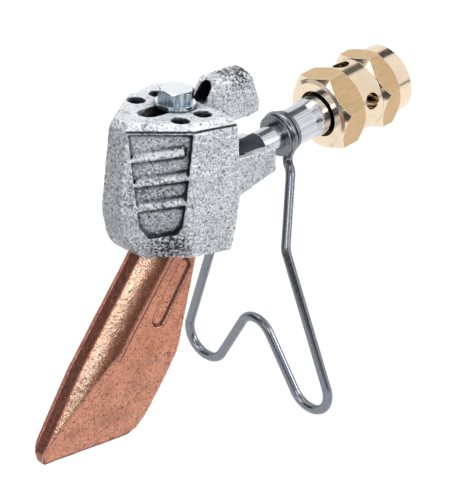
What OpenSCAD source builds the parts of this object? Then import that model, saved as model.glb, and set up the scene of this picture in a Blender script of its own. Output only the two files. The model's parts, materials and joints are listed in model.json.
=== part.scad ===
// Gas soldering copper: cast head with a hatchet bit, burner tube, wire stand and brass air mixer.
// Millimetres, +Z up, the floor is z = 0. X runs along the tool towards the gas end.

/* [Rest] */
// Height of the head's flat top above the floor
head_top_h = 138.5; // [125:0.5:155]
// Rise of the burner tube from the floor, degrees
tube_tilt = 10; // [4:0.5:14]
// Drop of the tube axis below the head's top, at the bolt
tube_drop = 37; // [34:0.5:40]

/* [Head casting] */
// Height of the casting below its flat top
head_h = 57; // [52:0.5:62]
// Reach of the front nose from the bolt
nose_reach = 30; // [27:0.5:34]
// Reach of the ribbed corner panels from the bolt
panel_reach = 21.2; // [19:0.2:24]
// Direction of the ribbed panels, degrees from the nose
panel_turn = 55; // [50:1:60]
// Reach of the side faces from the bolt, at the top
side_reach = 21.2; // [19:0.2:24]
// Outward flare of the side faces to the rear, degrees
side_flare = 10; // [6:1:12]
// Reach of the back face from the bolt
back_reach = 11.5; // [10.5:0.5:14]
// Bevel round the top
crown = 3; // [1:0.5:4]
// Swell of the side faces at the belly
side_swell = 0.5; // [0.2:0.1:2]
// Swell of the ribbed panels at the belly
panel_swell = 0.8; // [0.2:0.1:2]
// Swell of the nose at the belly
nose_swell = 1; // [0.5:0.5:3]
// Swell of the back face at the belly
back_swell = 3; // [1:0.5:4]
// Depth of the belly below the top
belly_z = 32; // [28:1:36]
// Tuck of the nose at the bottom rim
nose_chin = 10; // [8:0.5:11]
// Tuck of the ribbed panels at the bottom rim
panel_chin = 3.5; // [2:0.5:4]
// Tuck of the side faces at the bottom rim
side_chin = 1.7; // [1:0.1:3]
// Depth of the groove under the top bevel
seam = 0.6; // [0.2:0.1:1]
// Thickness of the top plate
top_t = 7; // [5:0.5:9]
// Diameter of the vent holes
vent_d = 7.4; // [5:0.2:8]
// Spacing of the vent holes across the head
vent_pitch_y = 25; // [22:0.2:26]
// Front vents, ahead of the bolt
vent_front = 9; // [8:0.5:11]
// Rear vents, behind the bolt
vent_rear = 2.8; // [1:0.2:4]
// Front end of the bolt slot, ahead of the bolt
slot_front = 14.5; // [12:0.5:17]
// Depth of the ribbed panel
panel_depth = 1.8; // [0.8:0.1:2.2]
// Spacing of the panel ribs
rib_pitch = 10.1; // [8:0.1:11]
// Height of one rib
rib_h = 4; // [2.5:0.1:5]
// Length of the top rib
rib_l = 21.6; // [18:0.2:23]
// Slope of the ribs, degrees
rib_slope = 8.7; // [4:0.1:12]

/* [Hood and arm] */
// Width of the hood
hood_w = 12; // [10:0.5:14]
// Rise of the hood above the head's top
hood_rise = 8; // [6:0.2:9]
// Rear end of the hood, behind the bolt
hood_end = 40.8; // [38:0.2:43]
// Width of the arched opening
arch_w = 6; // [4:0.5:7]
// Width of the arm
arm_w = 18.5; // [17:0.5:22]
// Rear end of the arm, behind the bolt
arm_end = 49; // [46:0.5:51]
// Depth of the arm's rim below the head's top
arm_top_z = 26.5; // [25:0.5:27]
// Depth of the arm's floor at its rear end
arm_end_z = 36.6; // [36:0.2:38]
// Depth of the arm's floor at the head
arm_root_z = 50; // [47:0.5:52]

/* [Copper bit] */
// Reach of the tip ahead of the bolt
bit_tip = 62; // [55:0.5:70]
// Reach of the heel ahead of the bolt
bit_heel = 11; // [8:0.5:16]
// Front of the copper at the mouth of the head
bit_front = 15.5; // [14.5:0.1:16.5]
// Reach of the bend in the front edge, ahead of the bolt
bend_x = 46; // [44:0.5:47]
// Bend in the front edge, below the head's top
bend_drop = 102.2; // [98:0.2:106]
// Back of the copper at the mouth of the head
bit_back = 9.8; // [9:0.2:11]
// Thickness of the copper
bit_t = 17.6; // [16:0.2:19]
// Thickness of the working edge
edge_t = 2; // [1:0.2:3]
// Height of the wedge above the working edge
wedge_h = 38; // [34:1:46]
// Width of the front face
bit_face_w = 6.4; // [5:0.2:8]
// Sink of the front face between its two ridges
face_sink = 0.35; // [0.1:0.05:0.6]
// Radius of the rounded shoulders beside the front face
bead_r = 19; // [17:0.5:22]
// Turn of the shoulders where they leave the front face, degrees
bead_turn = 38; // [34:1:42]
// Turn of the shoulders where they roll in to the side faces, degrees
roll_turn = 70; // [64:1:74]
// Radius of that roll
roll_r = 3; // [2:0.2:4]
// Width of the tang inside the head
tang_w = 15; // [13:0.5:17]
// Front of the tang, ahead of the bolt
tang_front = 6.5; // [6:0.1:9]
// Length of the sunk panel
sink_l = 30; // [20:1:34]
// Width of the sunk panel
sink_w = 7.6; // [5:0.2:9]
// Upper end of the sunk panel, behind the bolt
sink_x = 2.3; // [0:0.1:4]
// Upper end of the sunk panel, below the head's top
sink_drop = 66.5; // [64:0.5:70]
// Lean of the sunk panel, degrees
sink_turn = 31; // [25:1:37]
// Depth of the sunk panel
sink_depth = 1; // [0.4:0.1:1.4]

/* [Clamp] */
// Bolt diameter
bolt_d = 8; // [6:0.5:10]
// Bolt head across flats
bolt_af = 13; // [10:0.5:16]
// Bolt head height
bolt_head_h = 5.3; // [4:0.1:7]
// Turn of the bolt head, degrees
bolt_turn = 38; // [0:1:59]
// Bolt length under the head
bolt_l = 34; // [26:1:40]
// Washer diameter
washer_d = 16; // [14:0.5:18]
// Washer thickness
washer_t = 1.8; // [1:0.1:2.5]

/* [Burner tube] */
// Diameter of the tube
tube_d = 15.6; // [14:0.2:17]
// Diameter of the tube's shank inside the arm
shank_d = 11; // [10:0.2:12]
// Bore of the tube
tube_bore = 8; // [6:0.2:9]
// Diameter of the stand discs
disc_d = 17.4; // [16.4:0.2:19]
// Thickness of one stand disc
disc_t = 0.8; // [0.6:0.1:2]
// Position of the stand's eye along the tube
eye_s = 61.2; // [59:0.2:64]
// Thickness of the step ring
ring_t = 1; // [0.8:0.1:3]
// Diameter of the step ring
ring_d = 16.6; // [16:0.2:18]
// Diameter of the tube's flare at the mixer
flare_d = 17; // [16:0.2:17.6]
// Diameter of the flame nozzle
nozzle_d = 13; // [12:0.2:14]
// Length of the flame nozzle
nozzle_l = 14; // [10:0.5:16]

/* [Wire stand] */
// Wire diameter
wire_d = 4; // [3:0.2:4.6]
// Length of the wire's tails below the eye
eye_tail = 7.6; // [7:0.2:8]
// Drop of the hips below the tube axis
hip_drop = 13.2; // [12:0.2:15]
// Half spread at the hips
hip_y = 9; // [8:0.2:11]
// Forward step of the hips from the eye
hip_step = 3.9; // [2:0.1:5]
// Feet, behind the bolt
foot_x = 59.1; // [54:0.1:62]
// Backward lean of the lower legs, degrees
leg_lean = 8.5; // [4:0.5:10]
// Half spread of the feet, outer corner
foot_outer = 44.8; // [42:0.2:48]
// Half spread of the feet, inner corner
foot_inner = 24.4; // [20:0.2:28]
// Half spread at the knees
knee_y = 19; // [16:0.2:21]
// Height of the knees above the feet
knee_h = 68.8; // [64:0.2:74]
// Height of the hump's corner above the feet
hump_h = 37.8; // [32:0.2:42]
// Bend radius of the feet
foot_bend = 9.8; // [6:0.1:10.5]
// Bend radius of the hump
hump_bend = 9.2; // [6:0.1:10]

/* [Mixer] */
// Front of the mixer along the tube
mixer_s = 82.4; // [80:0.1:84]
// Hexagons across flats
mixer_af = 30; // [27:0.5:32]
// Diameter of the front face inside its chamfer
chamfer_d = 26.6; // [24:0.2:28]
// Slope of the hexagons' chamfers, degrees
chamfer_slope = 20; // [12:1:32]
// Turn of the hexagons, degrees
mixer_turn = 17.5; // [0:0.5:59]
// Length of the front hexagon
hex_front_l = 10.9; // [10:0.1:14]
// Length of the neck
neck_l = 12.3; // [10:0.1:14]
// Diameter of the neck
neck_d = 29; // [25:0.2:29.4]
// Length of the rear hexagon
hex_rear_l = 9.9; // [9:0.1:12]
// Length of the rear collar
collar_l = 6.8; // [5:0.2:8]
// Diameter of the rear collar
collar_d = 28.8; // [26:0.2:29.4]
// Diameter of the air holes
air_d = 7; // [5:0.2:8]
// Step of the air holes behind the middle of the neck
air_shift = 0.6; // [-1:0.1:1]
// Position of the first air hole round the neck, degrees
air_turn = 13.5; // [0:0.5:45]
// Diameter of the front mouth
mouth_d = 19.6; // [19:0.2:22]
// Bore of the gas thread
gas_bore = 18.8; // [16:0.2:20]
// Depth of the gas thread
gas_depth = 12; // [10:0.5:13]

/* [Hidden] */
$fn = 96;
// Depth and half width of the copper where its shoulders are widest
roll_x = bead_r * cos(bead_turn) - (bead_r - roll_r) * cos(roll_turn);
bead_half = bit_face_w / 2 - bead_r * sin(bead_turn) + (bead_r - roll_r) * sin(roll_turn) + roll_r;
// Gap between pieces that are fixed to each other
fit_gap = 0.03;
// Running gap of pieces that turn
run_gap = 0.06;
// Free gap round pieces that do not touch
free_gap = 0.4;
far = 90;
wire_r = wire_d / 2;
bit_top = -top_t - fit_gap;
slot_w = bolt_d + free_gap;
eye_r = shank_d / 2 + run_gap + wire_r;
eye_gap = wire_d + 2 * run_gap;
disc_front_s = eye_s - eye_gap / 2 - disc_t;
disc_rear_s = eye_s + eye_gap / 2;
ring_s = disc_rear_s + disc_t + fit_gap;
body_s = ring_s + ring_t + fit_gap;
flare_s = mixer_s - 5;
seat_s = mixer_s + 8;
spigot_d = tube_bore + 4;
chamber_s = seat_s + 5;
mixer_end = mixer_s + hex_front_l + neck_l + hex_rear_l + collar_l;
shank_s = 40;
// Open top of the arm's channel above the tube axis
channel_rise = 12;
jet_d = 8;
jet_l = 7;
jet_tip_d = 4;
jet_tip_l = 2;
jet_hole_d = 1;
jet_flange_d = 14;
jet_flange_t = 2.4;
jet_s = mixer_end - gas_depth - jet_flange_t - 2 * fit_gap;
filter_d = 6;
filter_t = 1.4;
foot_z = -head_top_h + wire_r;
// Middle of a ribbed panel, between its corners with the nose and the side face
panel_front_u = (panel_reach * cos(panel_turn) - nose_reach) / sin(panel_turn);
panel_rear_u = (side_reach - panel_reach * cos(90 - panel_turn - side_flare)) / sin(90 - panel_turn - side_flare);
panel_mid = (panel_front_u + panel_rear_u) / 2;
// Overlap and step where straight wire runs into a bend
wire_lap = 0.4;
wire_step = 0.05;
max_x = mixer_end * cos(tube_tilt) + (collar_d / 2) * sin(tube_tilt);
mid_x = (max_x - bit_tip) / 2;

// Puts the bolt's foot at the right height over the floor and centres the part
module place() {
    translate([-mid_x, 0, head_top_h])
        children();
}

// Stands a piece on the tube axis, its local Z pointing to the rear
module on_tube(s) {
    translate([0, 0, -tube_drop])
        rotate([0, -tube_tilt, 0])
            translate([s, 0, 0])
                rotate([0, 90, 0])
                    children();
}

// Outline of one wall of the head, from the bolt outwards
function wall_outline(reach, swell, chin, groove) = concat(
    [[-far, 0], [reach - 0.6 * crown, 0]],
    groove > 0 ? [[reach - 0.2, -crown + 0.3], [reach - 0.2 - groove, -crown], [reach, -crown - 0.5]]
        : [[reach, -crown]],
    [[reach + 0.6 * swell, -0.55 * belly_z], [reach + swell, -belly_z],
        [reach + 0.97 * swell, -belly_z - 0.1 * head_h],
        [reach + swell - 0.3 * (chin + swell), -0.84 * head_h],
        [reach + swell - 0.55 * (chin + swell), -0.92 * head_h],
        [reach - chin, -head_h], [-far, -head_h]]
);

module wall(turn, reach, swell, chin, groove = 0) {
    rotate([0, 0, turn])
        translate([0, far, 0])
            rotate([90, 0, 0])
                linear_extrude(2 * far)
                    polygon(wall_outline(reach, swell, chin, groove));
}

module head_outside() {
    intersection() {
        wall(180, nose_reach, nose_swell, nose_chin);
        wall(180 + panel_turn, panel_reach, panel_swell, panel_chin, seam);
        wall(180 - panel_turn, panel_reach, panel_swell, panel_chin, seam);
        wall(270 - side_flare, side_reach, side_swell, side_chin, seam);
        wall(90 + side_flare, side_reach, side_swell, side_chin, seam);
        wall(0, back_reach, back_swell, -2.5);
    }
}

// Outline of the sunk field of one ribbed panel
module panel_field() {
    polygon([[-12.7, -crown - 0.9], [12.9, -crown - 0.9], [11.9, -0.53 * head_h], [11.1, -0.75 * head_h],
        [9.1, -0.81 * head_h], [-1.9, -0.84 * head_h], [-5.9, -0.75 * head_h], [-9.4, -0.42 * head_h]]);
}

// Turns X to point straight out of the near ribbed panel
module on_panel() {
    rotate([0, 0, 180 + panel_turn])
        children();
}

module panel_sink() {
    difference() {
        on_panel()
            rotate([90, 0, 90])
                linear_extrude(far)
                    translate([panel_mid, 0])
                        panel_field();
        wall(180 + panel_turn, panel_reach - panel_depth, panel_swell, panel_chin);
    }
}

// One rib of the panel, pointed at the front, with a broad upper slope and a steep lower one
module rib(start_u, start_z) {
    root = panel_reach - panel_depth - 1 + panel_swell * min(1, -start_z / belly_z);
    crest = 1 + 0.92 * panel_depth;
    on_panel()
        translate([root, panel_mid + start_u, start_z])
            rotate([rib_slope, 0, 0])
                intersection() {
                    rotate([-90, 0, 0])
                        linear_extrude(rib_l)
                            polygon([[0, -0.64 * rib_h], [1, -0.64 * rib_h], [crest, -0.1 * rib_h],
                                [crest, 0.14 * rib_h], [1, 0.36 * rib_h], [0, 0.36 * rib_h]]);
                    rotate([90, 0, 90])
                        linear_extrude(far)
                            polygon([[0, 0], [2.6, 0.64 * rib_h], [rib_l + 1, 0.64 * rib_h],
                                [rib_l + 1, -0.36 * rib_h], [2.6, -0.36 * rib_h]]);
                }
}

module panel_ribs() {
    intersection() {
        head_outside();
        union() {
            rib(-11.4, -15.2);
            rib(-9.6, -15.2 - rib_pitch);
            rib(-8.4, -15.2 - 2 * rib_pitch);
        }
    }
}

// Side view of the hood
module hood_side() {
    polygon([[back_reach - 2, -13], [back_reach - 2, -2.4], [back_reach + 1, -1.5],
        [back_reach + 6.3, hood_rise - 0.5], [hood_end - 6, hood_rise], [hood_end - 4.2, hood_rise - 4.3],
        [hood_end, -6], [hood_end - 0.2, -10], [hood_end - 6, -11], [back_reach + 18, -11.6]]);
}

// Plan of the hood
module hood_plan() {
    front = arch_w / 2 + 1.6;
    polygon([[back_reach - 2, -front], [back_reach + 4.5, -front], [back_reach + 12, -hood_w / 2],
        [hood_end + 1, -hood_w / 2], [hood_end + 1, hood_w / 2], [back_reach + 12, hood_w / 2],
        [back_reach + 4.5, front], [back_reach - 2, front]]);
}

// Roof of the hood seen from the rear
module hood_roof() {
    eave = hood_rise - 2.6;
    ridge = hood_w / 2 - 3.2;
    polygon([[-hood_w / 2, -20], [hood_w / 2, -20], [hood_w / 2, eave], [ridge + 1, hood_rise - 0.5],
        [ridge, hood_rise + 0.1], [-ridge, hood_rise + 0.1], [-ridge - 1, hood_rise - 0.5], [-hood_w / 2, eave]]);
}

module hood() {
    intersection() {
        translate([0, far, 0])
            rotate([90, 0, 0])
                linear_extrude(2 * far)
                    hood_side();
        translate([0, 0, -20])
            linear_extrude(40)
                hood_plan();
        rotate([90, 0, 90])
            linear_extrude(far)
                hood_roof();
    }
}

module arch_cut() {
    spring_z = hood_rise - 1.8 - arch_w / 2;
    translate([back_reach - 1, 0, spring_z])
        rotate([0, 90, 0])
            cylinder(d = arch_w, h = 16);
    translate([back_reach - 1, -arch_w / 2, -2.4])
        cube([16, arch_w, spring_z + 2.4]);
}

module arm() {
    translate([0, arm_w / 2, 0])
        rotate([90, 0, 0])
            linear_extrude(arm_w)
                polygon([[back_reach - 2, -arm_top_z], [arm_end, -arm_top_z], [arm_end + 0.6, -arm_end_z],
                    [back_reach - 2, -arm_root_z]]);
}

module arm_channel() {
    on_tube(shank_s)
        cylinder(d = shank_d + 2 * fit_gap, h = 30);
    on_tube(shank_s)
        translate([-channel_rise, -shank_d / 2 - fit_gap, 0])
            cube([channel_rise, shank_d + 2 * fit_gap, 30]);
    on_tube(6)
        cylinder(d = nozzle_d + 2 * free_gap, h = shank_s - 6 + free_gap);
}

// The open top of the arm above the nozzle, behind the head's back wall
module arm_window() {
    translate([back_reach + 3, -nozzle_d / 2 - free_gap, -tube_drop + 4])
        cube([20, nozzle_d + 2 * free_gap, tube_drop - 14.8]);
}

module head_casting() {
    color([0.72, 0.73, 0.74])
        place()
            difference() {
                union() {
                    difference() {
                        head_outside();
                        panel_sink();
                        mirror([0, 1, 0])
                            panel_sink();
                    }
                    panel_ribs();
                    mirror([0, 1, 0])
                        panel_ribs();
                    hood();
                    arm();
                }
                arch_cut();
                arm_channel();
                arm_window();
                // Hollow that takes the copper
                translate([0, 0, -head_h - 1])
                    linear_extrude(head_h + 1 - top_t)
                        hollow_outline();
                // Vents
                for (x = [-vent_front, vent_rear], y = [-1, 1])
                    translate([x, y * vent_pitch_y / 2, -top_t - 20])
                        cylinder(d = vent_d, h = 30);
                // Bolt slot
                translate([-slot_front, -slot_w / 2, -top_t - 1])
                    cube([slot_front, slot_w, top_t + 2]);
                for (x = [-slot_front, 0])
                    translate([x, 0, -top_t - 1])
                        cylinder(d = slot_w, h = top_t + 2);
            }
}

// Plan of the hollow, following the front of the copper
module hollow_outline() {
    front = -bit_front - 1.4;
    half = bead_half + 1.6;
    nose = bit_face_w / 2 + 2.2;
    polygon([[front, -nose], [front + roll_x, -half], [bit_back + 1.2, -half],
        [bit_back + 1.2, half], [front + roll_x, half], [front, nose]]);
}

// Side view of the copper
module bit_side() {
    polygon([[-bit_front - 2, -head_h], [-bend_x - 3, -bend_drop], [-bit_tip, -head_top_h + 11],
        [-bit_tip, -head_top_h + 5], [-bit_tip + 0.7, -head_top_h + 2], [-bit_tip + 2.6, -head_top_h],
        [-bit_heel - 4, -head_top_h], [-bit_heel, -head_top_h + 2.2], [-bit_heel + 3, -head_top_h + 7],
        [0.2 * bit_back, -0.75 * head_top_h], [bit_back, -head_h], [bit_back, -head_h + 8],
        [-bit_front + 4.6, -head_h + 8]]);
}

// One rounded shoulder of the copper, on the side of positive Y
module bit_shoulder() {
    intersection() {
        translate([bead_r * cos(bead_turn), bit_face_w / 2 - bead_r * sin(bead_turn)])
            circle(r = bead_r);
        square([roll_x - roll_r * cos(roll_turn), far]);
    }
    translate([roll_x, bead_half - roll_r])
        circle(r = roll_r);
}

// Section of the copper across its front edge: the sunk face, the shoulders and the flat sides behind them
module bit_section(half) {
    face = bit_face_w / 2 - 0.4;
    difference() {
        union() {
            bit_shoulder();
            mirror([0, 1])
                bit_shoulder();
        }
        translate([-1, -face])
            square([1 + face_sink, 2 * face]);
    }
    translate([roll_x - 1, -half])
        square([far, 2 * half]);
}

// Wedge of the copper seen from the front
module bit_wedge() {
    half = bit_t / 2;
    edge = edge_t / 2;
    right = [[edge, -head_top_h], [edge + 0.4 * (half - edge), -head_top_h + 0.32 * wedge_h],
        [edge + 0.75 * (half - edge), -head_top_h + 0.66 * wedge_h], [half, -head_top_h + wedge_h],
        [half + 2, -head_top_h + 1.4 * wedge_h], [half + 2, 0]];
    polygon(concat(right, [for (i = [len(right) - 1 : -1 : 0]) [-right[i][0], right[i][1]]]));
}

// Long bar with the copper's section, leaning through the bend in the front edge
module bit_bar(lean, half) {
    translate([-bend_x, 0, -bend_drop])
        rotate([0, lean, 0])
            translate([0, 0, -2 * far])
                linear_extrude(4 * far)
                    bit_section(half);
}

module copper_bit() {
    color([0.72, 0.43, 0.32])
        place()
            difference() {
                union() {
                    intersection() {
                        translate([0, far, 0])
                            rotate([90, 0, 0])
                                linear_extrude(2 * far)
                                    bit_side();
                        bit_bar(atan2(bend_x - bit_front, bend_drop - head_h), bit_t / 2);
                        bit_bar(atan2(bit_tip - 0.6 - bend_x, head_top_h - 8 - bend_drop), bead_half + 1);
                        translate([far, 0, 0])
                            rotate([90, 0, -90])
                                linear_extrude(2 * far)
                                    bit_wedge();
                    }
                    translate([-tang_front, -tang_w / 2, -head_h + 2])
                        cube([tang_front + bit_back - 0.4, tang_w, head_h - 2 + bit_top]);
                }
                // Tapped hole for the bolt
                translate([0, 0, bit_top - bolt_l + top_t + washer_t - 2])
                    cylinder(d = bolt_d + 2 * run_gap, h = bolt_l);
                // Sunk panel on the near side
                translate([sink_x, -bit_t / 2 + sink_depth, -sink_drop])
                    rotate([90, sink_turn - 90, 0])
                        linear_extrude(far)
                            sink_outline();
            }
}

module sink_outline() {
    run = sink_l - sink_w;
    circle(d = sink_w);
    translate([-run, 0])
        circle(d = sink_w);
    translate([-run, -sink_w / 2])
        square([run, sink_w]);
}

module clamp_bolt() {
    color([0.62, 0.67, 0.72])
        place() {
            translate([0, 0, washer_t + fit_gap])
                intersection() {
                    rotate([0, 0, bolt_turn])
                        cylinder(d = bolt_af / cos(30), h = bolt_head_h, $fn = 6);
                    cylinder(r1 = 0.58 * bolt_af + 1.8 * bolt_head_h, r2 = 0.48 * bolt_af, h = bolt_head_h);
                }
            translate([0, 0, washer_t + fit_gap - bolt_l])
                cylinder(d = bolt_d, h = bolt_l + 1);
        }
}

module clamp_washer() {
    color([0.66, 0.7, 0.74])
        place()
            difference() {
                cylinder(d = washer_d, h = washer_t);
                translate([0, 0, -1])
                    cylinder(d = bolt_d + 2 * run_gap, h = washer_t + 2);
            }
}

module burner_tube() {
    color([0.6, 0.62, 0.65])
        place()
            on_tube(0)
                rotate_extrude()
                    polygon([[tube_bore / 2, shank_s + 8], [shank_d / 2, shank_s + 8], [shank_d / 2, body_s],
                        [tube_d / 2, body_s], [tube_d / 2, flare_s - 3], [flare_d / 2, flare_s],
                        [flare_d / 2, seat_s - 2], [spigot_d / 2, seat_s - 2], [spigot_d / 2, chamber_s],
                        [tube_bore / 2, chamber_s]]);
}

module flame_nozzle() {
    color([0.3, 0.3, 0.32])
        place()
            on_tube(shank_s + 8 - nozzle_l - fit_gap)
                difference() {
                    union() {
                        cylinder(d = nozzle_d, h = nozzle_l - 8);
                        cylinder(d = shank_d, h = nozzle_l);
                    }
                    translate([0, 0, -1])
                        cylinder(d = tube_bore - 1, h = nozzle_l + 2);
                    translate([0, 0, -0.1])
                        cylinder(d1 = tube_bore + 2, d2 = tube_bore - 1, h = 3);
                }
}

module tube_disc(d, t) {
    difference() {
        cylinder(d = d, h = t);
        translate([0, 0, -1])
            cylinder(d = shank_d + 2 * fit_gap, h = t + 2);
    }
}

module stand_front_disc() {
    color([0.55, 0.57, 0.6])
        place()
            on_tube(disc_front_s)
                tube_disc(disc_d, disc_t);
}

module stand_rear_disc() {
    color([0.55, 0.57, 0.6])
        place()
            on_tube(disc_rear_s)
                tube_disc(disc_d, disc_t);
}

module step_ring() {
    color([0.75, 0.76, 0.78])
        place()
            on_tube(ring_s)
                tube_disc(ring_d, ring_t);
}

function unit(v) = v / norm(v);

// Point of the eye's plane, down and across from the tube axis
function eye_point(down, across) = [
    eye_s * cos(tube_tilt) + down * sin(tube_tilt),
    across,
    -tube_drop + eye_s * sin(tube_tilt) - down * cos(tube_tilt)
];

function leg_point(across, height) = [foot_x - height * tan(leg_lean), across, foot_z + height];

module wire_straight(a, b) {
    d = b - a;
    translate(a)
        rotate([0, acos(d[2] / norm(d)), atan2(d[1], d[0])])
            cylinder(r = wire_r - wire_step, h = norm(d));
}

function bend_reach(a, q, b, bend) = bend / tan(acos(unit(a - q) * unit(b - q)) / 2);

// Round bend of the wire at the corner q between a and b
module wire_bend(a, q, b, bend) {
    u = unit(a - q);
    w = unit(b - q);
    half = acos(u * w) / 2;
    centre = q + unit(u + w) * bend / sin(half);
    ex = unit(q + u * bend / tan(half) - centre);
    ee = unit(q + w * bend / tan(half) - centre);
    ez = unit(cross(ex, ee));
    ey = cross(ez, ex);
    translate(centre)
        rotate([atan2(ey[2], ez[2]), -asin(ex[2]), atan2(ex[1], ex[0])])
            rotate_extrude(angle = 180 - 2 * half)
                translate([bend, 0])
                    circle(r = wire_r);
}

// One half of the stand: from the eye down the leg, round the foot and up to the hump
module half_stand(side) {
    start = eye_point(eye_r * cos(60), side * eye_r * sin(60));
    neck = eye_point(eye_r * cos(60) + eye_tail * sin(60), side * (eye_r * sin(60) - eye_tail * cos(60)));
    hip = eye_point(hip_drop, side * hip_y) - [hip_step, 0, 0];
    knee = leg_point(side * knee_y, knee_h);
    outer = leg_point(side * foot_outer, 0);
    inner = leg_point(side * foot_inner, 0);
    hump = leg_point(0, hump_h);
    path = [start, neck, hip, knee, outer, inner, hump];
    room = (foot_outer - foot_inner - 2 * wire_lap)
        / (bend_reach(knee, outer, inner, 1) + bend_reach(outer, inner, hump, 1));
    foot_r = min(foot_bend, room);
    bends = [0, 3, 5, 8, foot_r, foot_r, 0];
    for (i = [1 : 5])
        wire_bend(path[i - 1], path[i], path[i + 1], bends[i]);
    for (i = [0 : 4]) {
        from = i == 0 ? 0 : bend_reach(path[i - 1], path[i], path[i + 1], bends[i]);
        to = bend_reach(path[i], path[i + 1], path[i + 2], bends[i + 1]);
        run = unit(path[i + 1] - path[i]);
        wire_straight(path[i] + run * (from - wire_lap), path[i + 1] - run * (to - wire_lap));
    }
    mate = leg_point(-side * foot_inner, 0);
    climb = unit(hump - inner);
    wire_straight(inner + climb * (bend_reach(outer, inner, hump, foot_r) - wire_lap),
        hump - climb * (bend_reach(inner, hump, mate, hump_bend) - wire_lap));
}

module wire_stand() {
    color([0.5, 0.53, 0.57])
        place() {
            on_tube(eye_s)
                rotate([0, 0, 60])
                    rotate_extrude(angle = 240)
                        translate([eye_r, 0])
                            circle(r = wire_r);
            half_stand(-1);
            half_stand(1);
            wire_bend(leg_point(-foot_inner, 0), leg_point(0, hump_h), leg_point(foot_inner, 0), hump_bend);
        }
}

// Hexagon turned down to a chamfer of the given radius at its front
module chamfered_hex(l, front_r) {
    tip_r = mixer_af / 2 / cos(30);
    rear_r = mixer_af / 2 - 0.4;
    rim_r = tip_r + 1;
    intersection() {
        rotate([0, 0, mixer_turn])
            cylinder(r = tip_r, h = l, $fn = 6);
        rotate_extrude()
            polygon([[0, 0], [front_r, 0], [rim_r, (rim_r - front_r) * tan(chamfer_slope)],
                [rim_r, l - (rim_r - rear_r) * tan(chamfer_slope)], [rear_r, l], [0, l]]);
    }
}

module mixer_body() {
    neck_s = hex_front_l;
    rear_s = neck_s + neck_l;
    collar_s = rear_s + hex_rear_l;
    color([0.83, 0.66, 0.35])
        place()
            on_tube(mixer_s)
                difference() {
                    union() {
                        chamfered_hex(hex_front_l, chamfer_d / 2);
                        translate([0, 0, neck_s - 0.5])
                            cylinder(d = neck_d, h = neck_l + 1);
                        translate([0, 0, rear_s])
                            chamfered_hex(hex_rear_l, neck_d / 2);
                        translate([0, 0, collar_s - 0.5])
                            cylinder(d = collar_d, h = collar_l + 0.5);
                    }
                    // Mouth round the tube
                    translate([0, 0, -1])
                        cylinder(d = mouth_d, h = seat_s - mixer_s + 1);
                    // Seat of the tube
                    translate([0, 0, 4])
                        cylinder(d = spigot_d + 2 * fit_gap, h = chamber_s - mixer_s - 4);
                    // Mixing chamber
                    translate([0, 0, chamber_s - mixer_s - 0.1])
                        cylinder(d = 13, h = jet_s - chamber_s - 6);
                    // Jet seat
                    translate([0, 0, 10])
                        cylinder(d = jet_d + 2 * fit_gap, h = 30);
                    // Seat of the jet's flange
                    translate([0, 0, jet_s - mixer_s])
                        cylinder(d = jet_flange_d + 2 * fit_gap, h = jet_flange_t + 1);
                    // Gas thread
                    translate([0, 0, mixer_end - mixer_s - gas_depth])
                        cylinder(d = gas_bore, h = gas_depth + 1);
                    // Air holes
                    for (i = [0 : 3])
                        translate([0, 0, neck_s + neck_l / 2 + air_shift])
                            rotate([0, 90, -90 - air_turn + 90 * i])
                                cylinder(d = air_d, h = neck_d);
                }
}

module gas_jet() {
    color([0.78, 0.62, 0.35])
        place()
            on_tube(jet_s - jet_l)
                difference() {
                    union() {
                        cylinder(d1 = jet_tip_d, d2 = jet_d, h = jet_tip_l);
                        translate([0, 0, jet_tip_l])
                            cylinder(d = jet_d, h = jet_l - jet_tip_l + 2 * fit_gap);
                        translate([0, 0, jet_l + fit_gap])
                            cylinder(d = jet_flange_d, h = jet_flange_t);
                    }
                    translate([0, 0, -1])
                        cylinder(d = jet_hole_d, h = jet_l);
                    translate([0, 0, 1.3 * jet_tip_l])
                        cylinder(d = jet_tip_d, h = jet_l + jet_flange_t);
                    translate([0, 0, jet_l + fit_gap + jet_flange_t - filter_t])
                        cylinder(d = filter_d + 2 * fit_gap, h = 2 * filter_t);
                }
}

module jet_filter() {
    color([0.6, 0.6, 0.6])
        place()
            on_tube(jet_s + fit_gap + jet_flange_t - filter_t + fit_gap)
                cylinder(d = filter_d, h = filter_t - fit_gap);
}

head_casting();
copper_bit();
clamp_bolt();
clamp_washer();
burner_tube();
flame_nozzle();
stand_front_disc();
stand_rear_disc();
step_ring();
wire_stand();
mixer_body();
gas_jet();
jet_filter();
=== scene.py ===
import json
import math

import bpy
import numpy as np
from mathutils import Matrix, Vector


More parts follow.
